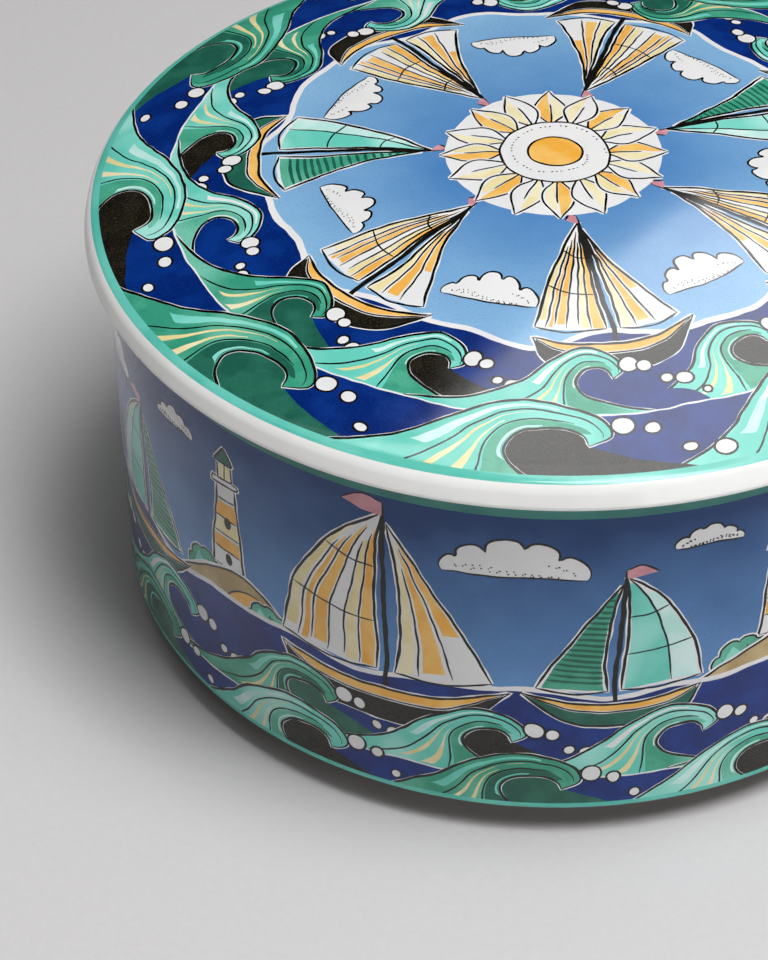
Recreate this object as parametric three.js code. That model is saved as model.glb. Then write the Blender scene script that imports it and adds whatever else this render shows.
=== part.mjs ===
import * as THREE from 'three';

// A round porcelain box with a lift-off lid. The body is a thrown cylinder on a narrow foot ring.
// The lid is a low crown with a rolled rim that oversails the wall, and a flange that finds the mouth.
// Sizes are in millimetres, angles in degrees. +Z is up and the origin is on the table, at the centre of the foot ring.

// Lid
const lidRadius = 70; // widest point of the rolled rim
const rimThickness = 4.5; // from the seat to the top of the rim's rounding
const rimSlant = 12; // how far the rim's outer side leans in towards the top
const rimTopRounding = 2.2;
const rimBottomRounding = 1;
const shoulderRadius = 15; // round shoulder between the rim and the crown
const shoulderSlope = 22; // tilt of the surface where the rim's rounding runs into the shoulder
const crownRadius = 400; // the low dome of the top
const lidThickness = 3.6; // under the crown

// Flange under the lid, which keeps it centred in the mouth
const flangeDepth = 5;
const flangeThickness = 3;
const flangeRounding = 1.1;
const flangeFillet = 2.4; // between the flange and the underside of the crown
const flangeClearance = 0.8; // between the flange and the wall of the mouth, all round
const seatGap = 0.3; // between the lid's seat and the mouth

// Body
const bodyHeight = 64; // from the table to the mouth
const rimOverhang = 3; // how far the lid's rim stands out past the wall
const wallThickness = 4;
const mouthOuterRounding = 1;
const mouthInnerRounding = 0.8;
const wallBottomRounding = 1;
const floorThickness = 3.6; // over the edge of the base hollow
const floorFillet = 5; // inside, where the wall meets the floor

// Foot ring
const footHeight = 5; // from the table to the underside of the wall
const footInset = 6; // from the wall in to the outside of the foot ring
const footWidth = 4.6;
const footRounding = 0.8;
const footFillet = 0.8; // outside, where the ring meets the underside of the wall
const baseHollowHeight = 4.8; // underside of the floor, just inside the ring
const baseHollowRise = 0.6; // how much higher its centre is
const baseHollowFillet = 1.2;

// Fineness of the facets
const segmentsRound = 88;
const arcStep = 31; // the most that one chord of a rounding turns
const crownSteps = 6;

const bodyRadius = lidRadius - rimOverhang;
const mouthRadius = bodyRadius - wallThickness;
const footOuterRadius = bodyRadius - footInset;
const footInnerRadius = footOuterRadius - footWidth;
const floorTop = baseHollowHeight + floorThickness;
const flangeOuterRadius = mouthRadius - flangeClearance;
const flangeInnerRadius = flangeOuterRadius - flangeThickness;

const point = (r, z, rounding = 0) => ({ at: new THREE.Vector2(r, z), rounding });

// Points of an arc. Its angles are those of its outward normal, from the horizontal.
function arc(centre, radius, fromDegrees, toDegrees, steps) {
  const count = steps ?? Math.max(1, Math.ceil(Math.abs(toDegrees - fromDegrees) / arcStep));
  return Array.from({ length: count + 1 }, (_, i) => {
    const angle = THREE.MathUtils.degToRad(fromDegrees + ((toDegrees - fromDegrees) * i) / count);
    return new THREE.Vector2(Math.cos(angle), Math.sin(angle)).multiplyScalar(radius).add(centre);
  });
}

// Turns a list of corners into an outline: each corner that has a rounding becomes an arc tangent to both its sides.
// A rounding never takes more than half of a side, so two neighbours always fit on the side between them.
function roundedOutline(corners) {
  return corners.flatMap(({ at, rounding }, i) => {
    if (rounding === 0) return [at];
    const before = corners[i - 1].at.clone().sub(at);
    const after = corners[i + 1].at.clone().sub(at);
    const halfAngle = Math.abs(before.angleTo(after)) / 2;
    const reach = Math.min(rounding / Math.tan(halfAngle), before.length() / 2, after.length() / 2);
    const radius = reach * Math.tan(halfAngle);
    before.normalize();
    after.normalize();
    const centre = before.clone().add(after).setLength(radius / Math.sin(halfAngle)).add(at);
    const start = before.multiplyScalar(reach).add(at).sub(centre);
    const turn = Math.PI - 2 * halfAngle;
    const direction = Math.sign(start.cross(after.multiplyScalar(reach).add(at).sub(centre)));
    const count = Math.max(1, Math.ceil(THREE.MathUtils.radToDeg(turn) / arcStep));
    return Array.from({ length: count + 1 }, (_, k) =>
      start.clone().rotateAround(new THREE.Vector2(), (direction * turn * k) / count).add(centre),
    );
  });
}

// Revolves an outline of (radius, height) points about the upright axis. It runs from the axis underneath to the axis
// on top, anticlockwise, so that the faces point outwards.
function revolve(name, outline, material) {
  const geometry = new THREE.LatheGeometry(outline, segmentsRound);
  geometry.rotateX(Math.PI / 2);
  const mesh = new THREE.Mesh(geometry, material);
  mesh.name = name;
  return mesh;
}

const bodyGlaze = new THREE.MeshStandardMaterial({ color: 0xdfe3e6, roughness: 0.14, metalness: 0 });
const lidGlaze = new THREE.MeshStandardMaterial({ color: 0xedeeef, roughness: 0.12, metalness: 0 });

function makeBody() {
  const outline = roundedOutline([
    point(0, baseHollowHeight + baseHollowRise),
    point(footInnerRadius, baseHollowHeight, baseHollowFillet),
    point(footInnerRadius, 0, footRounding),
    point(footOuterRadius, 0, footRounding),
    point(footOuterRadius, footHeight, footFillet),
    point(bodyRadius, footHeight, wallBottomRounding),
    point(bodyRadius, bodyHeight, mouthOuterRounding),
    point(mouthRadius, bodyHeight, mouthInnerRounding),
    point(mouthRadius, floorTop, floorFillet),
    point(0, floorTop),
  ]);
  return revolve('box_body', outline, bodyGlaze);
}

// The lid has its own frame, with its seat at height 0. The rim's slanted side is tangent to both its roundings.
// Three arcs make the top, each tangent to the next: the rim's top rounding, the shoulder and the crown, whose centre
// lies on the axis.
function makeLid() {
  const rimFoot = new THREE.Vector2(lidRadius - rimBottomRounding, rimBottomRounding);
  const slant = THREE.MathUtils.degToRad(rimSlant);
  const rimCentre = new THREE.Vector2(rimFoot.x, rimThickness - rimTopRounding);
  const drawnIn = rimTopRounding - rimBottomRounding + (rimCentre.y - rimFoot.y) * Math.sin(slant);
  rimCentre.x -= drawnIn / Math.cos(slant);
  const shoulderNormal = 90 - shoulderSlope;
  const towardsShoulder = THREE.MathUtils.degToRad(shoulderNormal);
  const shoulderCentre = new THREE.Vector2(Math.cos(towardsShoulder), Math.sin(towardsShoulder))
    .multiplyScalar(rimTopRounding - shoulderRadius)
    .add(rimCentre);
  const crownEdgeSlope = Math.asin(shoulderCentre.x / (crownRadius - shoulderRadius));
  const crownDrop = (crownRadius - shoulderRadius) * Math.cos(crownEdgeSlope);
  const crownCentre = new THREE.Vector2(0, shoulderCentre.y - crownDrop);
  const crownNormal = 90 - THREE.MathUtils.radToDeg(crownEdgeSlope);

  const undersideRadius = crownRadius - lidThickness;
  const undersideSlope = THREE.MathUtils.radToDeg(Math.asin(flangeInnerRadius / undersideRadius));
  const underside = arc(crownCentre, undersideRadius, 90, 90 - undersideSlope, crownSteps);
  const flangeRoot = underside.pop();

  const outline = [
    ...roundedOutline([
      ...underside.map((p) => point(p.x, p.y)),
      point(flangeRoot.x, flangeRoot.y, flangeFillet),
      point(flangeInnerRadius, -flangeDepth, flangeRounding),
      point(flangeOuterRadius, -flangeDepth, flangeRounding),
      point(flangeOuterRadius, 0),
    ]),
    ...arc(rimFoot, rimBottomRounding, -90, 0),
    ...arc(rimFoot, rimBottomRounding, 0, rimSlant).slice(1),
    ...arc(rimCentre, rimTopRounding, rimSlant, shoulderNormal),
    ...arc(shoulderCentre, shoulderRadius, shoulderNormal, crownNormal, 3).slice(1),
    ...arc(crownCentre, crownRadius, crownNormal, 90, crownSteps).slice(1, -1),
    new THREE.Vector2(0, crownCentre.y + crownRadius),
  ];
  return revolve('lid', outline, lidGlaze);
}

const box = new THREE.Group();
const lid = makeLid();
lid.position.z = bodyHeight + seatGap;
box.add(makeBody(), lid);

export default box;
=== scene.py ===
import math

import bmesh
import bpy
import numpy as np
from mathutils import Matrix, Vector, geometry, noise


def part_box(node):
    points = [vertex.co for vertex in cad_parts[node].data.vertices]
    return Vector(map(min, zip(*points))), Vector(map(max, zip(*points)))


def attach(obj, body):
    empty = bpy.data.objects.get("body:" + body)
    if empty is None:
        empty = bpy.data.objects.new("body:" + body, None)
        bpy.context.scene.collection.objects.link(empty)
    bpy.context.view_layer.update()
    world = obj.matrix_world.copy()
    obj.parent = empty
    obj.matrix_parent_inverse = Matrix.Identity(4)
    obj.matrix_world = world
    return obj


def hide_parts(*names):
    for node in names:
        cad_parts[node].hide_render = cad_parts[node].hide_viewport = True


# A round porcelain box with a lift-off lid: white porcelain, printed decor under a clear glaze.
# The solids and the drawings are in millimetres until they become meshes. The scene is in metres.

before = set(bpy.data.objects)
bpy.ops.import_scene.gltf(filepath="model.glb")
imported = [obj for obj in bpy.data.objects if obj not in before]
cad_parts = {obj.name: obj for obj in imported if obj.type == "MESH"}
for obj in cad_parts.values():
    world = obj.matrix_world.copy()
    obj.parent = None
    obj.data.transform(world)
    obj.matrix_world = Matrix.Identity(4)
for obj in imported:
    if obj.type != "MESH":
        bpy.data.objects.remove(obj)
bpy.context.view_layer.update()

MM = 0.001
TURN = 2 * math.pi
GOLDEN_TURN = 2.399

# The two pieces, from the frame and from the roundings that such porcelain has
body_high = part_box("box_body")[1] / MM
lid_low, lid_high = (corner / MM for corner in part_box("lid"))

LID_RADIUS = lid_high.x
LID_THICKNESS = 3.6
RIM_THICKNESS = 4.5
RIM_SLANT = 12.0
RIM_TOP_ROUNDING = 2.2
RIM_BOTTOM_ROUNDING = 1.0
RIM_FULLNESS = 14.0
SHOULDER_RADIUS = 15.0
SHOULDER_SLOPE = 22.0
CROWN_RADIUS = 400.0
FLANGE_DEPTH = 5.0
FLANGE_THICKNESS = 3.0
FLANGE_ROUNDING = 1.1
FLANGE_FILLET = 2.4
FLANGE_CLEARANCE = 0.8
SEAT_FILLET = 0.5
SEAT = lid_low.z + FLANGE_DEPTH

BODY_RADIUS = body_high.x
BODY_HEIGHT = body_high.z
WALL = 4.0
MOUTH_OUTER_ROUNDING = 1.0
MOUTH_INNER_ROUNDING = 0.8
WALL_BOTTOM_ROUNDING = 1.0
FLOOR = 3.6
FLOOR_FILLET = 5.0
FOOT_HEIGHT = 5.0
FOOT_INSET = 6.0
FOOT_WIDTH = 4.6
FOOT_ROUNDING = 0.8
BASE_HOLLOW = 4.8
BASE_HOLLOW_RISE = 0.6
BASE_HOLLOW_FILLET = 1.2

MOUTH_RADIUS = BODY_RADIUS - WALL
WALL_LOW = FOOT_HEIGHT + WALL_BOTTOM_ROUNDING
WALL_HIGH = BODY_HEIGHT - MOUTH_OUTER_ROUNDING

# Coloured lines that frame the decor
LID_LINE_INNER = 67.6
LID_LINE_OUTER = 68.82
BASE_LINE_TOP = 6.5
NECK_LINE_LOW = 60.8

# Fineness: segments round the axis, degrees along an arc, points along a line, points inside a shape
SEGMENTS = 288
ARC_STEP = 7.5
LINE_STEP = 0.6
GRID = 2.7

# The hand that draws: the ink line's width, and over what length and by how much the hand strays
INK_WIDTH = 0.36
WANDER = (9.0, 0.55)
SHAKE = (2.2, 0.16)

# Where a shape lies between its colour's two shades, if nothing else is said
MIDDLE_TONE = 0.5

COLOURS = [
    "white", "ink", "lid_sky", "wall_sky_and_rim_shadow", "navy", "ochre", "cream", "mint", "pale_mint",
    "green", "pine", "sand", "charcoal", "pink", "line", "neck_line_painted_shade", "rim", "bisque", "raw_foot",
]


# Outlines of the turned solids

def arc(centre, radius, start, end):
    """Points of an arc between two directions of its outward normal, in degrees from the horizontal."""
    count = max(1, math.ceil(abs(end - start) / ARC_STEP))
    angle = np.radians(np.linspace(start, end, count + 1))
    return np.stack([np.cos(angle), np.sin(angle)], 1) * radius + centre


def rounded(corners):
    """An outline through corners (radius, height, rounding), with arcs tangent to both their sides."""
    outline = []
    for i, (r, z, rounding) in enumerate(corners):
        at = np.array([r, z])
        if rounding == 0:
            outline.append(at)
            continue
        before = np.subtract(corners[i - 1][:2], at)
        after = np.subtract(corners[i + 1][:2], at)
        before /= np.linalg.norm(before)
        after /= np.linalg.norm(after)
        half = math.acos(np.clip(before @ after, -1, 1)) / 2
        middle = (before + after) / np.linalg.norm(before + after)
        centre = at + middle * rounding / math.sin(half)
        start = at + before * rounding / math.tan(half) - centre
        end = at + after * rounding / math.tan(half) - centre
        turn = math.degrees(math.atan2(start[0] * end[1] - start[1] * end[0], start @ end))
        first = math.degrees(math.atan2(start[1], start[0]))
        outline.extend(arc(centre, rounding, first, first + turn))
    return np.array(outline)


def body_outlines():
    """The body's outline from the axis out to the decorated wall, and from there back to the axis."""
    foot_outer = BODY_RADIUS - FOOT_INSET
    foot_inner = foot_outer - FOOT_WIDTH
    below = rounded([
        (0, BASE_HOLLOW + BASE_HOLLOW_RISE, 0),
        (foot_inner, BASE_HOLLOW, BASE_HOLLOW_FILLET),
        (foot_inner, 0, FOOT_ROUNDING),
        (foot_outer, 0, FOOT_ROUNDING),
        (foot_outer, FOOT_HEIGHT, FOOT_ROUNDING),
        (BODY_RADIUS, FOOT_HEIGHT, WALL_BOTTOM_ROUNDING),
        (BODY_RADIUS, WALL_HIGH, 0),
    ])[:-1]
    floor_top = BASE_HOLLOW + FLOOR
    above = rounded([
        (BODY_RADIUS, WALL_LOW, 0),
        (BODY_RADIUS, BODY_HEIGHT, MOUTH_OUTER_ROUNDING),
        (MOUTH_RADIUS, BODY_HEIGHT, MOUTH_INNER_ROUNDING),
        (MOUTH_RADIUS, floor_top, FLOOR_FILLET),
        (0, floor_top, 0),
    ])[1:]
    return below, above


SLANT = math.radians(RIM_SLANT)
SLOPE = math.radians(SHOULDER_SLOPE)

RIM_FOOT = np.array([LID_RADIUS - RIM_BOTTOM_ROUNDING, SEAT + RIM_BOTTOM_ROUNDING])
RIM_RISE = RIM_THICKNESS - RIM_TOP_ROUNDING - RIM_BOTTOM_ROUNDING
RIM_STEP = RIM_TOP_ROUNDING - RIM_BOTTOM_ROUNDING + RIM_RISE * math.sin(SLANT)
RIM_CENTRE = RIM_FOOT + (-RIM_STEP / math.cos(SLANT), RIM_RISE)
SHOULDER_LEAN = np.array([math.sin(SLOPE), math.cos(SLOPE)])
SHOULDER_CENTRE = RIM_CENTRE - SHOULDER_LEAN * (SHOULDER_RADIUS - RIM_TOP_ROUNDING)
CROWN_EDGE_LEAN = SHOULDER_CENTRE[0] / (CROWN_RADIUS - SHOULDER_RADIUS)
CROWN_DROP = (CROWN_RADIUS - SHOULDER_RADIUS) * math.sqrt(1 - CROWN_EDGE_LEAN**2)
CROWN_CENTRE = np.array([0, SHOULDER_CENTRE[1] - CROWN_DROP])
CROWN_EDGE = CROWN_RADIUS * CROWN_EDGE_LEAN
SHOULDER_EDGE = SHOULDER_CENTRE[0] + SHOULDER_RADIUS * SHOULDER_LEAN[0]


def lid_top(r):
    """Height of the lid's top at each radius, and the outward part of its normal there."""
    zones = [r <= CROWN_EDGE, r <= SHOULDER_EDGE, r > SHOULDER_EDGE]
    centre_r = np.select(zones, [CROWN_CENTRE[0], SHOULDER_CENTRE[0], RIM_CENTRE[0]])
    centre_z = np.select(zones, [CROWN_CENTRE[1], SHOULDER_CENTRE[1], RIM_CENTRE[1]])
    radius = np.select(zones, [CROWN_RADIUS, SHOULDER_RADIUS, RIM_TOP_ROUNDING])
    lean = (r - centre_r) / radius
    return centre_z + radius * np.sqrt(1 - lean**2), lean


def lid_outline():
    """The lid's outline from the axis underneath, round the rim, to the coloured line on top."""
    flange_outer = MOUTH_RADIUS - FLANGE_CLEARANCE
    flange_inner = flange_outer - FLANGE_THICKNESS
    under_radius = CROWN_RADIUS - LID_THICKNESS
    lean = flange_inner / under_radius
    root = CROWN_CENTRE + under_radius * np.array([lean, math.sqrt(1 - lean**2)])
    near = CROWN_CENTRE + under_radius * np.array([lean * 0.9, math.sqrt(1 - (lean * 0.9)**2)])
    slope = 90 - math.degrees(math.asin(lean * 0.9))
    underside = arc(CROWN_CENTRE, under_radius, 90, slope)
    flange = rounded([
        (*near, 0),
        (*root, FLANGE_FILLET),
        (flange_inner, SEAT - FLANGE_DEPTH, FLANGE_ROUNDING),
        (flange_outer, SEAT - FLANGE_DEPTH, FLANGE_ROUNDING),
        (flange_outer, SEAT, SEAT_FILLET),
        (RIM_FOOT[0], SEAT, 0),
    ])
    line_normal = math.degrees(math.acos((LID_LINE_OUTER - RIM_CENTRE[0]) / RIM_TOP_ROUNDING))
    rim_low = arc(RIM_FOOT, RIM_BOTTOM_ROUNDING, -90, RIM_SLANT)
    rim_high = arc(RIM_CENTRE, RIM_TOP_ROUNDING, RIM_SLANT, line_normal)
    return np.vstack([underside, flange[1:], rim_low[1:], rim_high])


# Drawing by hand: curves, and shapes laid over one another

def spaced(points, step=LINE_STEP):
    """The same line with its points evenly spaced."""
    points = np.asarray(points, float)
    gaps = np.linalg.norm(np.diff(points, axis=0), axis=1)
    along = np.concatenate([[0], np.cumsum(gaps)])
    count = max(2, math.ceil(along[-1] / step) + 1)
    at = np.linspace(0, along[-1], count)
    return np.stack([np.interp(at, along, points[:, k]) for k in (0, 1)], 1)


def curve(*points, closed=False, count=None):
    """A smooth line through the points, with that many points of its own or one each LINE_STEP."""
    p = np.array(points, float)
    p = np.vstack([p[-1], p, p[:2]]) if closed else np.vstack([2 * p[0] - p[1], p, 2 * p[-1] - p[-2]])
    t = np.linspace(0, 1, 13)[:-1, None]
    runs = []
    for a, b, c, d in zip(p[:-3], p[1:-2], p[2:-1], p[3:]):
        second = 2 * a - 5 * b + 4 * c - d
        third = 3 * b - a - 3 * c + d
        runs.append(0.5 * (2 * b + (c - a) * t + second * t**2 + third * t**3))
    line = np.vstack([*runs, p[-2]])
    if count:
        length = np.linalg.norm(np.diff(line, axis=0), axis=1).sum()
        return spaced(line, 1e-9 + length / (count - 1.5))[:count]
    return spaced(line)


def ring(x, y, radius, squash=1.0):
    """A circle, or an upright ellipse."""
    count = max(10, math.ceil(TURN * radius / LINE_STEP))
    angle = np.linspace(0, TURN, count, endpoint=False)
    return np.stack([x + radius * np.cos(angle), y + radius * squash * np.sin(angle)], 1)


def between(left, right, share):
    """The line that lies that share of the way from one line to the other."""
    return left + (right - left) * share


def area(outline):
    x, y = outline.T
    return 0.5 * (x @ np.roll(y, -1) - y @ np.roll(x, -1))


def sideways(line, closed=False):
    """Unit normals of a line, to its left."""
    if closed:
        along = np.roll(line, -1, 0) - np.roll(line, 1, 0)
    else:
        along = np.gradient(line, axis=0)
    along /= np.maximum(np.linalg.norm(along, axis=1, keepdims=True), 1e-9)
    return np.stack([-along[:, 1], along[:, 0]], 1)


class Sheet:
    """A drawing on a band. x runs along the band and y across it, upwards. bend puts band points on the
    flat pattern of the surface, solid gives their place in space, and hold keeps them off its edges."""

    def __init__(self, bend, solid, hold):
        self.bend, self.solid, self.hold = bend, solid, hold
        self.shapes = []

    def tremble(self, flat, size, seed):
        """The unsteadiness of a hand, as one smooth value per point from -1 to 1."""
        start = Vector((seed, 0, 0))
        return np.array([noise.noise(Vector(p) / size + start) for p in self.solid(flat)])

    def drawn(self, flat):
        """The points where a hand would put them."""
        moved = flat
        for (length, reach), seeds in ((WANDER, (3.1, 17.7)), (SHAKE, (31.3, 47.9))):
            moved = moved + np.stack([self.tremble(flat, length, seed) for seed in seeds], 1) * reach
        return moved

    def fill(self, outline, colour, tone=MIDDLE_TONE, inset=0.0):
        """A closed shape. An inset leaves an uneven bare margin inside it. A negative one grows it."""
        flat = self.drawn(self.bend(spaced(np.vstack([outline, outline[:1]]))[:-1]))
        if area(flat) < 0:
            flat = flat[::-1]
        if inset:
            uneven = 1 + 0.45 * self.tremble(flat, 3.0, 60.3)
            flat = flat + sideways(flat, closed=True) * (inset * uneven)[:, None]
        self.shapes.append((self.hold(flat), colour, tone, False))

    def stroke(self, line, width=INK_WIDTH, colour="ink", taper=(0.35, 0.35), closed=False):
        """A brush or pen line of uneven width that thins to a share of it at its ends."""
        if closed:
            line = np.vstack([line, line[:2]])
        flat = spaced(self.drawn(self.bend(spaced(line))))
        share = np.linspace(0, 1, len(flat))
        ends = np.minimum(1, np.minimum(taper[0] + share * 7, taper[1] + (1 - share) * 7))
        if closed:
            ends = 1
        uneven = 1 + 0.3 * self.tremble(flat, 2.6, 80.9) + 0.15 * self.tremble(flat, 0.9, 95.1)
        half = sideways(flat) * (width / 2 * ends * uneven)[:, None]
        outline = np.vstack([flat + half, (flat - half)[::-1]])
        self.shapes.append((self.hold(outline), colour, MIDDLE_TONE, True))


class Pen:
    """Draws a motif on a sheet at a place of its own, mirrored if asked."""

    def __init__(self, sheet, x, y, mirrored=False):
        self.facing = np.array([-1 if mirrored else 1, 1])
        self.sheet, self.at = sheet, np.array([x, y])

    def fill(self, outline, *args, **options):
        self.sheet.fill(outline * self.facing + self.at, *args, **options)

    def stroke(self, line, *args, **options):
        self.sheet.stroke(line * self.facing + self.at, *args, **options)


def panel(pen, left, right, bands, seams, margin=0.4, outline=INK_WIDTH * 1.2, ground="white"):
    """A surface between two lines that start together or side by side, with bands of colour and inked
    seams along it. A band is (from, to, colour, start, end): two shares across, and two along."""
    edge = np.vstack([left, right[::-1]])
    pen.fill(edge, "white", inset=-margin)
    pen.fill(edge, ground)
    last = len(left) - 1
    for low, high, colour, start, end in bands:
        part = slice(round(start * last), round(end * last) + 1)
        band = np.vstack([between(left, right, low)[part], between(left, right, high)[part][::-1]])
        pen.fill(band, colour, inset=0.12, tone=(low * 7.3 + high * 3.1) % 1)
    for share, start, end in seams:
        part = slice(round(start * last), round(end * last) + 1)
        pen.stroke(between(left, right, share)[part], INK_WIDTH * 0.8)
    pen.stroke(left, outline)
    pen.stroke(right, outline)


# Motifs. Each is drawn about its own origin, in millimetres.

WARM_MAIN = [
    (0.02, 0.17, "ochre", 0.0, 0.93),
    (0.2, 0.33, "cream", 0.0, 0.8),
    (0.36, 0.5, "white", 0, 1),
    (0.53, 0.68, "ochre", 0.03, 0.9),
    (0.72, 0.8, "ochre", 0.0, 0.75),
    (0.86, 0.98, "cream", 0.05, 0.85),
]
WARM_MAIN_SEAMS = [
    (0.185, 0, 0.84),
    (0.345, 0.02, 0.76),
    (0.515, 0, 0.88),
    (0.7, 0.03, 0.78),
    (0.83, 0, 0.7),
]
WARM_JIB = [
    (0.03, 0.22, "cream", 0, 0.9),
    (0.3, 0.55, "ochre", 0.02, 0.85),
    (0.66, 0.95, "ochre", 0.3, 0.9),
]
WARM_JIB_SEAMS = [(0.26, 0, 0.72), (0.6, 0, 0.85)]
COOL_MAIN = [(0.03, 0.62, "mint", 0.0, 0.96), (0.62, 0.97, "pale_mint", 0.0, 0.8)]
COOL_MAIN_SEAMS = [(0.62, 0, 1)]
COOL_JIB = [(0.05, 0.95, "green", 0.0, 0.93)]


def sailing_boat(pen, height, warm=True):
    h = height
    count = 40

    def line(*points):
        return curve(*(np.array(points) * h), count=count)

    luff = line((-0.03, 0.17), (-0.03, 0.5), (-0.022, 0.8), (0.0, 0.98))
    leech = line((-0.46, 0.2), (-0.4, 0.48), (-0.22, 0.8), (0.0, 0.98))
    stay = line((0.44, 0.2), (0.33, 0.42), (0.15, 0.72), (0.02, 0.93))
    jib = line((0.05, 0.17), (0.075, 0.4), (0.06, 0.7), (0.02, 0.93))
    if warm:
        panel(pen, luff, leech, WARM_MAIN, WARM_MAIN_SEAMS)
        panel(pen, jib, stay, WARM_JIB, WARM_JIB_SEAMS)
    else:
        panel(pen, luff, leech, COOL_MAIN, COOL_MAIN_SEAMS)
        panel(pen, jib, stay, COOL_JIB, [])
        for k in range(3, count - 6, 2):
            stripe = np.array([between(jib, stay, share)[k] for share in (0.06, 0.5, 0.94)])
            pen.stroke(stripe, 0.5, "pine", taper=(0.5, 0.2))
    for share in (0.3, 0.62):
        k = round(share * count)
        middle = between(luff, leech, 0.5)[k] + (0, -0.02 * h)
        pen.stroke(curve(luff[k], middle, leech[k]), INK_WIDTH * 0.75)
    pen.stroke(curve(luff[0], (-0.25 * h, 0.155 * h), leech[0]))
    pen.stroke(curve(jib[0], (0.25 * h, 0.155 * h), stay[0]))
    mast = np.array([(0.012, 0.02), (0.01, 0.5), (0.004, 1.03)]) * h
    pen.stroke(mast, 0.75, taper=(1, 0.2))
    flag_top = np.array([(0.0, 1.03), (-0.08, 1.05), (-0.17, 1.0)]) * h
    flag_base = np.array([(-0.17, 1.0), (-0.08, 0.975), (0.0, 0.965)]) * h
    pen.fill(np.vstack([curve(*flag_top), curve(*flag_base)]), "pink")
    pen.stroke(curve(*flag_top), 0.3)
    deck = line((-0.46, 0.13), (-0.2, 0.075), (0.2, 0.08), (0.52, 0.16))
    keel = line((-0.46, 0.13), (-0.32, -0.06), (0.22, -0.08), (0.52, 0.16))
    hull = [(0.0, 0.3, "ochre", 0.05, 0.95), (0.36, 1.0, "charcoal" if warm else "pine", 0.02, 0.98)]
    panel(pen, deck, keel, hull, [(0.33, 0.02, 0.97)])


# For each kind of wave: its hollow, and its main, light and dark colours
WAVE_COLOURS = [
    ("charcoal", "mint", "pale_mint", "green"),
    ("pine", "green", "mint", "pine"),
    ("navy", "mint", "white", "green"),
]
FOAM = (1.5, 1.15, 0.9, 1.25, 0.7)


def wave(pen, width, height, kind=0):
    """A curling wave that rises from the left and breaks to the right, over a dark hollow."""
    size = np.array([width, height])
    shade, main, light, dark = WAVE_COLOURS[kind % 3]

    def line(*points):
        return curve(*(np.array(points) * size), count=60)

    back = line((-0.3, -0.1), (0.1, 0.1), (0.36, 0.42), (0.55, 0.8),
                (0.78, 1.0), (0.99, 0.86), (1.06, 0.62), (0.98, 0.48))
    belly = line((1.15, -0.1), (0.92, 0.06), (0.76, 0.24), (0.71, 0.46),
                 (0.77, 0.64), (0.89, 0.68), (0.96, 0.6), (0.98, 0.48))
    lee = curve(*(np.array([(0.98, 0.48), (1.16, 0.3), (1.4, 0.1), (1.5, -0.1)]) * size))
    pen.fill(np.vstack([belly, lee]), shade)
    bands = [
        (0.03, 0.3, main, 0.0, 1.0),
        (0.1, 0.24, light, 0.42, 0.8),
        (0.33, 0.62, main, 0.0, 0.97),
        (0.38, 0.44, "cream", 0.1, 0.74),
        (0.52, 0.58, "cream", 0.04, 0.66),
        (0.66, 0.97, dark, 0.0, 0.93),
        (0.84, 0.95, light, 0.5, 0.78),
    ]
    panel(pen, back, belly, bands, [(0.31, 0.0, 0.95), (0.64, 0.0, 0.86)], margin=0.28, ground=main)
    for k, drop in enumerate(FOAM):
        x, y = size * (1.1 + 0.1 * k, 0.7 - 0.16 * k + 0.1 * (k % 2))
        pen.fill(ring(x, y, drop), "white")
        pen.stroke(ring(x, y, drop), 0.34, closed=True)


def puffs(lobes, bulge):
    """A line of round puffs. Each stands out from the line between its ends by a share of its span."""
    runs = []
    t = np.linspace(0, 1, 12)[:-1, None]
    along = t - 0.12 * np.sin(TURN * t)
    out = bulge * np.sin(math.pi * t) ** 0.7
    for a, b in zip(np.array(lobes[:-1]), np.array(lobes[1:])):
        side = np.array([a[1] - b[1], b[0] - a[0]])
        runs.append(a + (b - a) * along + side * out)
    return np.vstack([*runs, lobes[-1]])


def stipple(pen, count, width, height, size):
    """Ink dots scattered under an arch, thicker towards its foot."""
    for k in range(count):
        x = -0.44 + 0.86 * ((k * 0.618) % 1)
        y = height * ((k * 0.377) % 1) ** 1.6 * (1 - (2 * x) ** 2)
        pen.fill(ring(x * width, y + 0.2, size + 0.09 * ((k * 0.27) % 1)), "ink")


def cloud(pen, width):
    w = width
    lobes = [(-0.5, 0.0), (-0.4, 0.12), (-0.2, 0.2), (0.08, 0.24), (0.3, 0.15), (0.5, 0.0)]
    top = puffs(lobes, 0.42) * w
    base = curve((0.5, 0.0), (0.24, -0.035), (-0.1, 0.012), (-0.32, -0.02), (-0.5, 0.0)) * w
    pen.fill(np.vstack([top, base[1:]]), "white")
    pen.stroke(top, INK_WIDTH)
    pen.stroke(base, INK_WIDTH * 0.8)
    stipple(pen, 70, w, 0.16 * w, 0.15)


def bush(pen, width):
    """A round bush with a light side and a hatched dark one."""
    w = width
    lobes = [(-0.5, 0.0), (-0.42, 0.28), (-0.12, 0.5), (0.2, 0.44), (0.44, 0.2), (0.5, 0.0)]
    top = puffs(lobes, 0.36) * w
    base = curve((0.5, 0.0), (0.0, -0.06), (-0.5, 0.0)) * w
    pen.fill(np.vstack([top, base]), "white", inset=-0.4)
    pen.fill(np.vstack([top, base]), "green")
    light = curve((-0.42, 0.06), (-0.36, 0.34), (-0.08, 0.52), (-0.02, 0.3), (-0.2, 0.1), closed=True)
    pen.fill(light * w, "mint")
    for k in range(7):
        x = 0.06 + 0.055 * k
        blade = curve((x, 0.04), (x + 0.02, 0.2), (x - 0.02, 0.42 - 0.03 * k))
        pen.stroke(blade * w, 0.42, "pine", taper=(0.5, 0.1))
    pen.stroke(top)
    pen.stroke(base, INK_WIDTH * 0.8)


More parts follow.
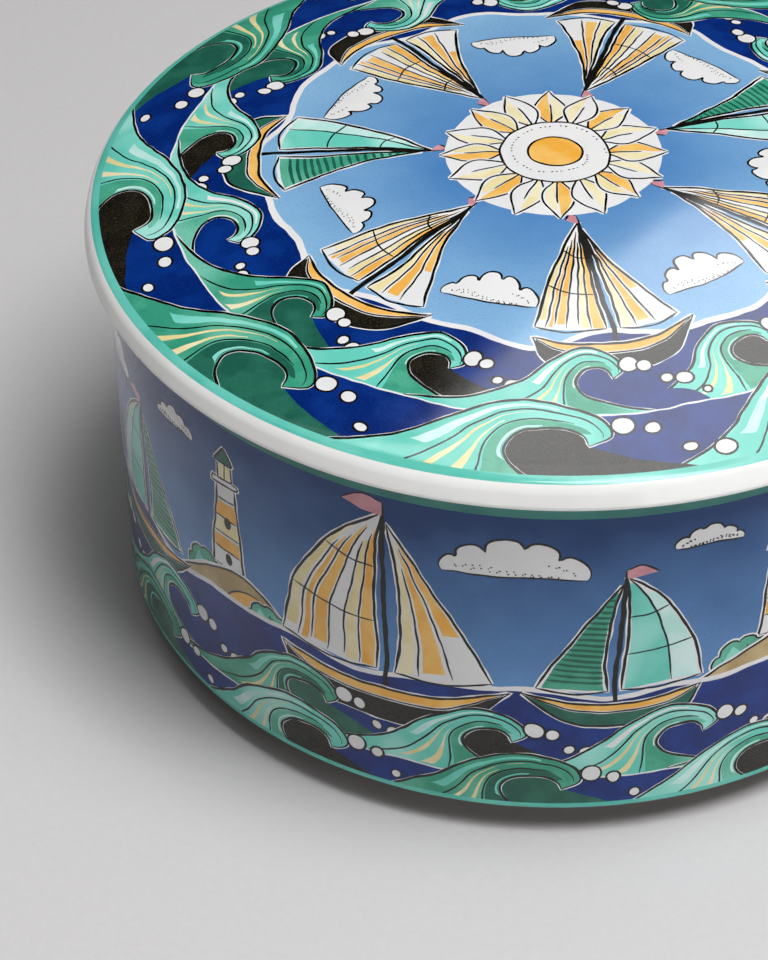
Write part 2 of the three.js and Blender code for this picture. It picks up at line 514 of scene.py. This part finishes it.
def island(pen, width, height):
    """A sandy island with a stippled shore and bushes."""
    w, h = width, height
    top = curve((-0.5 * w, 0), (-0.36 * w, 0.4 * h), (-0.14 * w, 0.72 * h), (0.08 * w, 0.95 * h),
                (0.28 * w, 0.7 * h), (0.4 * w, 0.3 * h), (0.5 * w, 0))
    pen.fill(top, "white", inset=-0.6)
    pen.fill(top, "sand")
    rock = curve((-0.1 * w, 0), (0.0, 0.5 * h), (0.16 * w, 0.7 * h), (0.3 * w, 0.35 * h), (0.32 * w, 0))
    pen.fill(rock, "ochre", inset=0.2)
    pen.stroke(rock, INK_WIDTH * 0.8)
    stipple(pen, 60, w, 0.5 * h, 0.14)
    pen.stroke(top, INK_WIDTH * 1.1)


def lighthouse(pen, height):
    h = height
    count = 50
    left = np.linspace((-0.13 * h, 0.0), (-0.072 * h, 0.74 * h), count)
    right = np.linspace((0.13 * h, 0.0), (0.072 * h, 0.74 * h), count)
    panel(pen, left, right, [], [])
    for k in range(6):
        part = slice(round(k * count / 6), round((k + 1) * count / 6))
        colour = ("ochre", "white", "ochre", "cream", "ochre", "white")[k]
        sides = [between(left, right, share)[part] for share in (0.03, 0.97)]
        pen.fill(np.vstack([sides[0], sides[1][::-1]]), colour, inset=0.15, tone=0.17 * k)
        pen.stroke(np.array([sides[0][0], sides[1][0]]), INK_WIDTH * 0.8)
    for y in (0.2, 0.47):
        pen.fill(ring(0.01 * h, y * h, 0.028 * h, 1.6), "charcoal")
    balcony = [(-0.11, 0.74), (0.11, 0.74), (0.1, 0.78), (-0.1, 0.78)]
    lantern = [(-0.055, 0.78), (0.055, 0.78), (0.05, 0.9), (-0.05, 0.9)]
    roof = [(-0.075, 0.9), (0.075, 0.9), (0.0, 1.02)]
    for corners, colour in ((balcony, "white"), (lantern, "cream"), (roof, "pine")):
        outline = spaced(np.array([*corners, corners[0]]) * h)
        pen.fill(outline, "white", inset=-0.35)
        pen.fill(outline, colour)
        pen.stroke(outline, closed=True)
    pen.stroke(np.array([(0.0, 0.78), (0.0, 0.9)]) * h, INK_WIDTH * 0.7)


def sun(pen, radius):
    r = radius
    petals = 16
    pen.fill(ring(0, 0, r * 1.1), "white")
    for k in range(petals):
        a = TURN * k / petals
        turn = np.array([[math.cos(a), math.sin(a)], [-math.sin(a), math.cos(a)]])
        left = curve((0.0, 0.5 * r), (-0.17 * r, 0.8 * r), (0.0, 1.16 * r), count=24) @ turn
        right = curve((0.0, 0.5 * r), (0.17 * r, 0.8 * r), (0.0, 1.16 * r), count=24) @ turn
        shades = [(0.05, 0.5, "ochre", 0.05, 0.9), (0.55, 0.92, "cream", 0.1, 0.8)]
        if k % 2:
            shades = [(0.08, 0.45, "cream", 0.1, 0.85)]
        panel(pen, left, right, shades, [(0.52, 0.05, 0.6)], margin=0.4, outline=INK_WIDTH * 0.9)
    pen.fill(ring(0, 0, 0.56 * r), "white")
    pen.stroke(ring(0, 0, 0.56 * r), INK_WIDTH, closed=True)
    for k in range(90):
        reach = r * (0.3 + 0.22 * ((k * 0.618) % 1) ** 0.7)
        a = k * GOLDEN_TURN
        dot = 0.16 + 0.1 * ((k * 0.27) % 1)
        pen.fill(ring(reach * math.cos(a), reach * math.sin(a), dot), "ink")
    pen.fill(ring(0, 0, 0.27 * r), "ochre")
    pen.stroke(ring(0, 0, 0.27 * r), INK_WIDTH, closed=True)


# The two drawings

BAND_RADIUS = 52.0


def lid_sheet():
    """The lid: boats that sail round a sun, over rings of waves."""
    def bend(p):
        r = LID_LINE_INNER - p[:, 1]
        a = p[:, 0] / BAND_RADIUS - TURN / 4
        return np.stack([r * np.cos(a), r * np.sin(a)], 1)

    def solid(flat):
        return np.column_stack([flat, np.zeros(len(flat))])

    def hold(flat):
        r = np.linalg.norm(flat, axis=1, keepdims=True)
        return flat * np.minimum(1, (LID_LINE_OUTER - 0.5) / np.maximum(r, 1e-9))

    sheet = Sheet(bend, solid, hold)
    length = TURN * BAND_RADIUS
    horizon = 24.0
    swell = np.linspace(0, length, 400)
    a = swell / BAND_RADIUS
    sea = np.stack([swell, horizon + 1.1 * np.sin(9 * a) + 0.6 * np.sin(16 * a)], 1)
    low = np.array([(length, -6.0), (0, -6.0)])
    sheet.fill(np.vstack([sea + (0, 1.0), low]), "white")
    sheet.fill(np.vstack([sea, low]), "navy")
    centre = Sheet(lambda p: p, solid, hold)
    centre.shapes = sheet.shapes
    boats = 7
    for k in range(boats):
        x = (k + 0.15) * length / boats
        sailing_boat(Pen(sheet, x, 21.5, mirrored=k % 3 == 1), 29.0, warm=k % 3 != 2)
        cloud(Pen(sheet, x + 0.5 * length / boats, 31.0 + 1.5 * (k % 2), mirrored=k % 2 == 1), 19.0)
    for k in range(14):
        wave(Pen(sheet, (k + 0.35) * length / 14, 11.5), length / 14 * 0.92, 11.5, kind=(k * 2) % 3)
    for k in range(9):
        wave(Pen(sheet, (k + 0.1) * length / 9, -3.0), length / 9 * 0.95, 16.0, kind=k % 2)
    sun(Pen(centre, 0, 0), 14.5)
    return sheet


def body_sheet():
    """The wall: boats under clouds, on a sea with islands."""
    length = TURN * BODY_RADIUS

    def bend(p):
        return p + (0, WALL_LOW)

    def solid(flat):
        a = flat[:, 0] / BODY_RADIUS
        return np.stack([BODY_RADIUS * np.cos(a), BODY_RADIUS * np.sin(a), flat[:, 1]], 1)

    def hold(flat):
        return np.column_stack([flat[:, 0], flat[:, 1].clip(WALL_LOW + 0.4, WALL_HIGH - 0.4)])

    sheet = Sheet(bend, solid, hold)
    units = 5
    unit = length / units
    for k in range(units):
        cloud(Pen(sheet, (k + 0.4) * unit, 44.0, mirrored=k % 2 == 1), 20.0)
        cloud(Pen(sheet, (k + 0.72) * unit, 48.0, mirrored=k % 2 == 0), 10.0)
        lighthouse(Pen(sheet, (k + 0.86) * unit, 25.0), 26.0)
        bush(Pen(sheet, (k + 0.8) * unit, 23.5), 9.0)
        island(Pen(sheet, (k + 0.86) * unit, 19.0), 30.0, 10.0)
        bush(Pen(sheet, (k + 0.95) * unit, 21.0), 8.0)
    swell = np.linspace(-10, length + 10, 500)
    a = swell / BODY_RADIUS
    line = np.stack([swell, 22 + 0.7 * np.sin(11 * a) + 0.4 * np.sin(23 * a)], 1)
    low = np.array([(length + 10, 0), (-10, 0)])
    sheet.fill(np.vstack([line + (0, 0.9), low]), "white")
    sheet.fill(np.vstack([line, low]), "navy")
    for k in range(units):
        sailing_boat(Pen(sheet, (k + 0.18) * unit, 16.5, mirrored=k % 2 == 1), 36.0)
        sailing_boat(Pen(sheet, (k + 0.58) * unit, 18.5, mirrored=k % 2 == 0), 26.0, warm=False)
    for k in range(15):
        wave(Pen(sheet, (k + 0.3) * length / 15, 7.0), length / 15 * 0.92, 11.5, kind=(k * 2) % 3)
    for k in range(12):
        wave(Pen(sheet, (k + 0.05) * length / 12, -3.0), length / 12 * 0.95, 13.5, kind=k % 2)
    return sheet


# From the drawings to surfaces

def winding(outline, points):
    """How many times a closed outline goes round each point. The points come in order of height."""
    a, b = outline, np.roll(outline, -1, 0)
    low = np.searchsorted(points[:, 1], np.minimum(a[:, 1], b[:, 1]))
    high = np.searchsorted(points[:, 1], np.maximum(a[:, 1], b[:, 1]))
    spans = high - low
    edge = np.repeat(np.arange(len(a)), spans)
    point = np.arange(len(edge)) + np.repeat(low - np.concatenate([[0], np.cumsum(spans)[:-1]]), spans)
    a, b, p = a[edge], b[edge], points[point]
    side = (b[:, 0] - a[:, 0]) * (p[:, 1] - a[:, 1]) - (p[:, 0] - a[:, 0]) * (b[:, 1] - a[:, 1])
    upward = b[:, 1] > a[:, 1]
    turns = np.where(upward & (side > 0), 1.0, 0.0) - np.where(~upward & (side < 0), 1.0, 0.0)
    return np.bincount(point, turns, len(points))


def triangulated(shapes, borders, points):
    """Triangles of the flat pattern that follow every shape's edge."""
    lines = [(outline, True) for outline, *_ in shapes] + borders
    verts, edges = [], []
    for line, closed in lines:
        first, count = len(verts), len(line)
        verts.extend(Vector(p) for p in line)
        edges.extend((first + k, first + k + 1) for k in range(count - 1))
        if closed:
            edges.append((first + count - 1, first))
    verts.extend(Vector(p) for p in points)
    found = geometry.delaunay_2d_cdt(verts, edges, [], 0, 1e-5, False)
    flat = np.array([tuple(p) for p in found[0]])
    triangles = np.array(found[2])
    return flat, triangles


def painted(flat, triangles, shapes, ground):
    """The colour and tone of each triangle: those of the last shape that covers its middle."""
    middle = flat[triangles].mean(1)
    order = np.argsort(middle[:, 1])
    x, y = middle[order].T
    colour = np.full(len(triangles), COLOURS.index(ground))
    tone = np.full(len(triangles), MIDDLE_TONE)
    for outline, name, value, pen_line in shapes:
        left, low = outline.min(0)
        right, high = outline.max(0)
        first, last = np.searchsorted(y, (low, high))
        near = order[first:last][(x[first:last] > left) & (x[first:last] < right)]
        turns = winding(outline, middle[near])
        inside = near[np.abs(turns) > 0.5 if pen_line else turns > 0.5]
        colour[inside] = COLOURS.index(name)
        tone[inside] = value
    return colour, tone


class Shell:
    """Gathers the surfaces of one piece and makes one closed mesh of them."""

    def __init__(self):
        self.verts, self.normals, self.depths = [], [], []
        self.faces, self.colours, self.tones, self.corners = [], [], [], []
        self.count = 0

    def add(self, verts, normals, faces, colours, tones, corners, depths):
        """corners holds the place of each face's corners on the flat map, for every face in turn."""
        self.verts.append(verts)
        self.normals.append(normals)
        self.faces.extend((np.asarray(faces) + self.count).tolist())
        self.colours.append(colours)
        self.tones.append(tones)
        self.corners.append(corners.reshape(-1, 2))
        self.depths.append(depths)
        self.count += len(verts)

    def turned(self, outline, paint, to_map, fullness=0.0):
        """Revolves an outline. paint gives a strip's colour, and to_map a place on the flat map. fullness
        is how many degrees further up an upright side beyond the wall shades, as if it were rounder."""
        steps = np.diff(outline, axis=0)
        length = np.linalg.norm(steps, axis=1)
        lean = np.stack([steps[:, 1], -steps[:, 0]], 1)
        whole = np.vstack([lean, lean[-1:]])
        whole[1:-1] = lean[:-1] + lean[1:]
        slope = np.degrees(np.arctan2(whole[:, 1], whole[:, 0]))
        extra = np.interp(slope, (-90, -50, 20, 60), (0, fullness, fullness, 0))
        slope += np.where(outline[:, 0] > BODY_RADIUS, extra, 0)
        whole = np.stack([np.cos(np.radians(slope)), np.sin(np.radians(slope))], 1)
        along = np.concatenate([[0], np.cumsum(length)])
        angle = np.arange(SEGMENTS) * TURN / SEGMENTS
        cos, sin = np.cos(angle), np.sin(angle)
        rows = len(outline)
        r, z = outline.T
        around = np.ones(SEGMENTS)
        verts = np.stack([np.outer(r, cos), np.outer(r, sin), np.outer(z, around)], -1)
        out, up = whole.T
        normals = np.stack([np.outer(out, cos), np.outer(out, sin), np.outer(up, around)], -1)
        i, j = (g.ravel() for g in np.meshgrid(np.arange(rows - 1), np.arange(SEGMENTS), indexing="ij"))
        k = (j + 1) % SEGMENTS
        row, after = i * SEGMENTS, (i + 1) * SEGMENTS
        faces = np.stack([row + j, row + k, after + k, after + j], 1)
        turn = TURN / SEGMENTS
        spots = [to_map(along[level], step * turn)
                 for level, step in ((i, j), (i, j + 1), (i + 1, j + 1), (i + 1, j))]
        middle = (outline[:-1] + outline[1:]) / 2
        names = np.array([COLOURS.index(paint(r, z)) for r, z in middle])
        self.add(
            verts.reshape(-1, 3),
            normals.reshape(-1, 3),
            faces,
            colours=names[i],
            tones=np.full(len(i), MIDDLE_TONE),
            corners=np.stack(spots, 1),
            depths=np.full(rows * SEGMENTS, MIDDLE_TONE),
        )

    def piece(self, name):
        mesh = bpy.data.meshes.new(name)
        mesh.from_pydata(np.vstack(self.verts) * MM, [], self.faces)
        turned_normal = mesh.attributes.new("turned_normal", "FLOAT_VECTOR", "POINT")
        turned_normal.data.foreach_set("vector", np.vstack(self.normals).ravel())
        depth = mesh.attributes.new("depth", "FLOAT", "POINT")
        depth.data.foreach_set("value", np.concatenate(self.depths))
        tone = mesh.attributes.new("tone", "FLOAT", "FACE")
        tone.data.foreach_set("value", np.concatenate(self.tones))
        flat_map = mesh.uv_layers.new(name="OFBake")
        flat_map.uv.foreach_set("vector", np.vstack(self.corners).ravel())
        mesh.polygons.foreach_set("material_index", np.concatenate(self.colours).astype(np.int32))
        for colour in COLOURS:
            mesh.materials.append(materials[colour])
        closed = bmesh.new()
        closed.from_mesh(mesh)
        bmesh.ops.remove_doubles(closed, verts=closed.verts, dist=2e-6)
        bmesh.ops.dissolve_degenerate(closed, edges=closed.edges, dist=1e-7)
        closed.to_mesh(mesh)
        closed.free()
        mesh.polygons.foreach_set("use_smooth", np.ones(len(mesh.polygons), bool))
        normals = np.zeros(len(mesh.vertices) * 3, np.float32)
        mesh.attributes["turned_normal"].data.foreach_get("vector", normals)
        mesh.normals_split_custom_set_from_vertices(normals.reshape(-1, 3))
        mesh.attributes.remove(mesh.attributes["turned_normal"])
        piece = bpy.data.objects.new(name, mesh)
        bpy.context.collection.objects.link(piece)
        return piece


def disc(centre, radius, outline, from_rim=False):
    """Places on the flat map for a turned surface, unrolled as a disc with the axis at its centre."""
    reach = np.linalg.norm(np.diff(outline, axis=0), axis=1).sum()

    def to_map(along, angle):
        share = radius * (1 - along / reach if from_rim else along / reach)
        return np.stack([centre[0] + share * np.cos(angle), centre[1] + share * np.sin(angle)], -1)
    return to_map


def grid_points(low, high):
    """Points of an even triangular grid between two corners."""
    across = np.arange(low[0], high[0], GRID)
    rows = np.arange(low[1], high[1], GRID * 0.87)
    return np.array([(x + (k % 2) * GRID / 2, y) for k, y in enumerate(rows) for x in across])


def make_lid():
    shell = Shell()
    sheet = lid_sheet()
    angle = np.arange(SEGMENTS) * TURN / SEGMENTS
    circle = np.stack([np.cos(angle), np.sin(angle)], 1)
    borders = [(circle * r, True) for r in (LID_LINE_OUTER, LID_LINE_INNER)]
    rings = np.vstack([circle * r for r in np.linspace(CROWN_EDGE, LID_LINE_OUTER, 14)[:-1]])
    reach = LID_LINE_OUTER - 0.6
    points = grid_points((-reach, -reach), (reach, reach))
    points = points[np.linalg.norm(points, axis=1) < CROWN_EDGE]
    flat, triangles = triangulated(sheet.shapes, borders, [*points, *rings])
    colour, tone = painted(flat, triangles, sheet.shapes, "lid_sky")
    middle = np.linalg.norm(flat[triangles].mean(1), axis=1)
    colour[middle > LID_LINE_INNER] = COLOURS.index("line")
    r = np.linalg.norm(flat, axis=1)
    z, lean = lid_top(r)
    outward = flat / np.maximum(r, 1e-9)[:, None]
    normals = np.column_stack([outward * lean[:, None], np.sqrt(1 - lean**2)])
    scale = 0.45 / (LID_LINE_OUTER + 7)
    corners = 0.455 + flat[triangles] * scale
    depth = 1 - r / LID_LINE_OUTER
    shell.add(np.column_stack([flat, z]), normals, triangles, colour, tone, corners, depth)
    outline = lid_outline()

    # The lid's rim, underside and flange sides get a white brighter than the white glaze elsewhere:
    # painted light on the rim.
    def paint(r, z):
        return "bisque" if z < SEAT - FLANGE_DEPTH + 0.6 else "rim"

    shell.turned(outline, paint, disc((0.925, 0.925), 0.07, outline), RIM_FULLNESS)
    return shell.piece("lid_shell")


def make_body():
    shell = Shell()
    sheet = body_sheet()
    length = TURN * BODY_RADIUS
    step = length / SEGMENTS
    past = 6
    copies = []
    for outline, *rest in sheet.shapes:
        for shift in (-length, 0, length):
            moved = outline + (shift, 0)
            if moved[:, 0].max() > -past * step and moved[:, 0].min() < length + past * step:
                copies.append((moved, *rest))
    along = np.arange(-past - 30, SEGMENTS + past + 31) * step
    levels = (WALL_LOW, BASE_LINE_TOP, NECK_LINE_LOW, WALL_HIGH)
    borders = [(np.column_stack([along, np.full(len(along), z)]), False) for z in levels]
    thirds = [k * length / 3 for k in range(4)]
    heights = np.linspace(WALL_LOW, WALL_HIGH, 24)
    borders += [(np.column_stack([np.full(len(heights), x), heights]), False) for x in thirds]
    points = grid_points((0, WALL_LOW + 0.6), (length, WALL_HIGH - 0.5))
    flat, triangles = triangulated(copies, borders, points)
    middle = flat[triangles].mean(1)
    kept = np.all((middle > (0, WALL_LOW)) & (middle < (length, WALL_HIGH)), axis=1)
    triangles = triangles[kept]
    middle = middle[kept]
    used, triangles = np.unique(triangles, return_inverse=True)
    triangles = triangles.reshape(-1, 3)
    flat = flat[used]
    colour, tone = painted(flat, triangles, copies, "wall_sky_and_rim_shadow")
    colour[middle[:, 1] < BASE_LINE_TOP] = COLOURS.index("line")
    # The neck line is the teal line print made darker: painted shade under the lid's rim.
    colour[middle[:, 1] > NECK_LINE_LOW] = COLOURS.index("neck_line_painted_shade")
    angle = flat[:, 0] / BODY_RADIUS + TURN / 4
    outward = np.stack([np.cos(angle), np.sin(angle)], 1)
    third = np.minimum((middle[:, 0] // (length / 3)).astype(int), 2)
    strip = WALL_HIGH - WALL_LOW + 1.5
    corners = flat[triangles] - np.stack([third * length / 3, WALL_LOW - third * strip - 0.7], 1)[:, None]
    corners = corners * 0.99 / (3 * strip) + (0.005, 0)
    verts = np.column_stack([outward * BODY_RADIUS, flat[:, 1]])
    normals = np.column_stack([outward, np.zeros(len(flat))])
    shell.add(verts, normals, triangles, colour, tone, corners, flat[:, 1] / BODY_HEIGHT)
    below, above = body_outlines()

    # The underside between the wall's edge and the foot, the foot's outer face and its bottom are dark
    # grey: painted shade in the gap under the wall.
    def paint_below(r, z):
        if r > BODY_RADIUS - 0.3:
            return "line"
        return "raw_foot" if z < 0.3 or r > BODY_RADIUS - FOOT_INSET - FOOT_ROUNDING else "white"

    def paint_above(r, z):
        return "bisque" if z > BODY_HEIGHT - 0.4 else "white"

    shell.turned(below, paint_below, disc((0.9, 0.12), 0.095, below))
    shell.turned(above, paint_above, disc((0.9, 0.36), 0.095, above, from_rim=True))
    return shell.piece("body_shell")


# Finishes

def linear(code):
    """The colour of a web code, as light."""
    values = [int(code[k:k + 2], 16) / 255 for k in (0, 2, 4)]
    return [v / 12.92 if v <= 0.04045 else ((v + 0.055) / 1.055) ** 2.4 for v in values] + [1.0]


def material(name):
    made = bpy.data.materials.new(name)
    made.use_nodes = True
    nodes = made.node_tree.nodes
    return made, nodes, made.node_tree.links, nodes["Principled BSDF"]


def mixed(nodes, links, share, first, second):
    mix = nodes.new("ShaderNodeMix")
    mix.data_type = "RGBA"
    links.new(share, mix.inputs["Factor"])
    for socket, value in ((mix.inputs["A"], first), (mix.inputs["B"], second)):
        if isinstance(value, str):
            socket.default_value = linear(value)
        else:
            links.new(value, socket)
    return mix.outputs["Result"]


def speckle(nodes, links, place, size, low, high, detail=2.0, most=1.0):
    """Noise with features of a size in millimetres, whose low and high values become 0 and most."""
    made = nodes.new("ShaderNodeTexNoise")
    made.inputs["Scale"].default_value = 1 / (size * MM)
    made.inputs["Detail"].default_value = detail
    links.new(place, made.inputs["Vector"])
    stretch = nodes.new("ShaderNodeMapRange")
    stretch.inputs["From Min"].default_value = low
    stretch.inputs["From Max"].default_value = high
    stretch.inputs["To Max"].default_value = most
    links.new(made.outputs["Fac"], stretch.inputs["Value"])
    return stretch.outputs["Result"]


def glazed(name, base, second, patch=7.0, spread=(0.42, 0.62), grain="", amount=0.3, fade="",
           gradient=None, rough=0.1, soft=0.3):
    """A printed colour under the glaze. Two shades lie in soft patches or in a gradient, and vary from
    shape to shape. fade is what it pales to in places. grain is the printing screen's fine speckle.
    patch is in millimetres, and soft is how much of the light sinks in."""
    made, nodes, links, shader = material(name)
    place = nodes.new("ShaderNodeTexCoord").outputs["Object"]
    tone = nodes.new("ShaderNodeAttribute")
    tone.attribute_name = "depth" if gradient else "tone"
    spread_tone = nodes.new("ShaderNodeMapRange")
    first, last = gradient or (0.0, 1.0)
    spread_tone.inputs["From Min"].default_value = first
    spread_tone.inputs["From Max"].default_value = last
    spread_tone.inputs["To Min"].default_value = 0.0 if gradient else -0.35
    spread_tone.inputs["To Max"].default_value = 1.0 if gradient else 0.35
    links.new(tone.outputs["Fac"], spread_tone.inputs["Value"])
    blend = nodes.new("ShaderNodeMath")
    blend.operation = "MULTIPLY_ADD"
    blend.inputs[1].default_value = 0.2 if gradient else 1.0
    blend.use_clamp = True
    links.new(speckle(nodes, links, place, patch, *spread), blend.inputs[0])
    links.new(spread_tone.outputs["Result"], blend.inputs[2])
    colour = mixed(nodes, links, blend.outputs["Value"], base, second)
    if fade:
        pale = speckle(nodes, links, place, 11.0, 0.55, 0.72, detail=0.0)
        colour = mixed(nodes, links, pale, colour, fade)
    if grain:
        dots = speckle(nodes, links, place, 0.3, 0.5, 0.72, detail=1.0, most=amount)
        colour = mixed(nodes, links, dots, colour, grain)
    links.new(colour, shader.inputs["Base Color"])
    swell = nodes.new("ShaderNodeBump")
    swell.inputs["Strength"].default_value = 0.05
    swell.inputs["Distance"].default_value = 0.0001
    links.new(speckle(nodes, links, place, 4.0, 0.0, 1.0), swell.inputs["Height"])
    links.new(swell.outputs["Normal"], shader.inputs["Normal"])
    dull = nodes.new("ShaderNodeMapRange")
    dull.inputs["To Min"].default_value = rough * 0.8
    dull.inputs["To Max"].default_value = rough * 1.25
    links.new(speckle(nodes, links, place, 6.0, 0.3, 0.7), dull.inputs["Value"])
    links.new(dull.outputs["Result"], shader.inputs["Roughness"])
    shader.inputs["IOR"].default_value = 1.43
    shader.inputs["Subsurface Weight"].default_value = soft
    shader.inputs["Subsurface Radius"].default_value = (1.0, 0.95, 0.9)
    shader.inputs["Subsurface Scale"].default_value = 0.0015
    return made


materials = {
    "white": glazed("glaze_white", "EDECEC", "E7E7E7", patch=14.0, soft=0.6),
    "ink": glazed("print_ink", "0F0E0C", "1B1A16", patch=1.2),
    "lid_sky": glazed("print_lid_sky", "94C3E6", "3E7ABA", patch=12.0, spread=(0.3, 0.8),
                      grain="3F74B2", amount=0.2, gradient=(0.34, 0.92)),
    # Printed sky that deepens upwards; its darkest top end is also painted shadow under the lid's rim.
    "wall_sky_and_rim_shadow": glazed("print_wall_sky_and_rim_shadow", "72A6DE", "0A3C76", patch=12.0, spread=(0.3, 0.8),
                       grain="2C4A7C", amount=0.15, gradient=(0.34, 0.97)),
    "navy": glazed("print_navy", "02246F", "063284", patch=6.0, grain="1D4C9C", amount=0.2),
    "ochre": glazed("print_ochre", "F2B045", "F8C871", patch=5.0, grain="E39C30", amount=0.15),
    "cream": glazed("print_cream", "EBDC9E", "F4EAC4", patch=5.0),
    "mint": glazed("print_mint", "6BD0BF", "86DDCE", patch=9.0, fade="A9E8DD"),
    "pale_mint": glazed("print_pale_mint", "BDEBE3", "DAF5F1", patch=6.0),
    "green": glazed("print_green", "3A9D80", "52B092", patch=4.0, grain="2A8A70", fade="7CCBB4"),
    "pine": glazed("print_pine", "1F5E4E", "2A6E5B", patch=4.0, grain="184A3E"),
    "sand": glazed("print_sand", "B59C6C", "C8B285", patch=6.0, grain="9C8254"),
    "charcoal": glazed("print_charcoal", "16140E", "211E16", patch=3.0, grain="4A4435", amount=0.3),
    "pink": glazed("print_pink", "C98A94", "D79FA6", patch=3.0),
    "line": glazed("print_line", "5CC4B4", "70D0C1", patch=8.0),
    # Teal line print darkened: painted shade under the lid's rim.
    "neck_line_painted_shade": glazed("print_neck_painted_shade", "377C74", "42897F", patch=8.0),
    # The same white glaze made brighter: painted light on the lid's rim.
    "rim": glazed("glaze_rim_painted_light", "F2F2F0", "EDEDEB", patch=14.0, soft=0.5),
    "bisque": glazed("bare_porcelain", "E4E2DC", "D9D6CF", patch=2.0, rough=0.7),
    # Dark grey where the white porcelain would be: painted shade in the gap under the wall.
    "raw_foot": glazed("raw_foot", "8A867F", "7C7871", patch=2.0, rough=0.7, soft=0.05),
}

lid = make_lid()
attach(lid, "lid")
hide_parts("lid")

body = make_body()
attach(body, "box")
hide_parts("box_body")


# Camera, floor and light. The camera's angles are in degrees, its focal length in the photograph's pixels.

PHOTO_WIDTH, PHOTO_HEIGHT = 768, 960
FOCAL_PIXELS = 2922.62
DISTANCE = 456.969
ELEVATION = 39.947
ROLL = -0.754
TARGET_HEIGHT = 35.13
SIDE_OFFSET = -25.582
UP_OFFSET = -18.065
SENSOR = 36.0
FLOOR_SIZE = 4


def add_camera():
    tilt, roll = math.radians(ELEVATION), math.radians(ROLL)
    ahead = Vector((0, math.cos(tilt), -math.sin(tilt)))
    level = Vector((1, 0, 0))
    above = level.cross(ahead)
    right = level * math.cos(roll) + above * math.sin(roll)
    up = above * math.cos(roll) - level * math.sin(roll)
    place = Vector((0, 0, TARGET_HEIGHT)) - ahead * DISTANCE + right * SIDE_OFFSET + up * UP_OFFSET
    data = bpy.data.cameras.new("camera")
    data.sensor_width = SENSOR
    data.lens = FOCAL_PIXELS * SENSOR / max(PHOTO_WIDTH, PHOTO_HEIGHT)
    data.clip_start, data.clip_end = 0.01, 20
    camera = bpy.data.objects.new("camera", data)
    aim = Matrix((right, up, -ahead)).transposed().to_4x4()
    camera.matrix_world = Matrix.Translation(place * MM) @ aim
    bpy.context.collection.objects.link(camera)
    bpy.context.scene.camera = camera


def add_floor():
    bpy.ops.mesh.primitive_plane_add(size=FLOOR_SIZE)
    floor = bpy.context.object
    floor.name = "floor"
    made, nodes, links, shader = material("floor_paper")
    place = nodes.new("ShaderNodeTexCoord").outputs["Object"]
    tint = mixed(nodes, links, speckle(nodes, links, place, 1.2, 0.3, 0.7), "D6D4D5", "D3D1D2")
    links.new(tint, shader.inputs["Base Color"])
    shader.inputs["Roughness"].default_value = 0.9
    floor.data.materials.append(made)


def add_softbox(name, azimuth, elevation, distance, size, power):
    """A flat lamp in that direction from the object, counted from +X towards +Y, that faces it. Its
    distance and size are in metres and its power in watts."""
    turn, rise = math.radians(azimuth), math.radians(elevation)
    away = Vector((math.cos(rise) * math.cos(turn), math.cos(rise) * math.sin(turn), math.sin(rise)))
    data = bpy.data.lights.new(name, "AREA")
    data.shape = "RECTANGLE"
    data.size, data.size_y = size
    data.energy = power
    light = bpy.data.objects.new(name, data)
    light.location = away * distance
    light.rotation_euler = away.to_track_quat("Z", "Y").to_euler()
    bpy.context.collection.objects.link(light)
    return light


def add_light():
    """Two softboxes high on the right, two fills, a card that shows only in the glaze, and a dim room."""
    add_softbox("key", -50, 73, 1.0, (0.3, 0.5), 5.6)
    add_softbox("second_key", -28, 69, 0.96, (0.3, 0.63), 2.32)
    add_softbox("top_fill", -90, 84, 1.0, (1.0, 1.0), 2.1)
    add_softbox("low_fill", -50, 13, 1.1, (0.9, 0.4), 2.25)
    card = add_softbox("card", 49, 65, 0.98, (0.8, 0.8), 10.0)
    card.visible_diffuse = False
    world = bpy.data.worlds.new("studio")
    world.use_nodes = True
    world.node_tree.nodes["Background"].inputs["Color"].default_value = (0.02, 0.02, 0.02, 1)
    bpy.context.scene.world = world


add_camera()
add_floor()
add_light()
bpy.context.scene.view_settings.view_transform = "Standard"
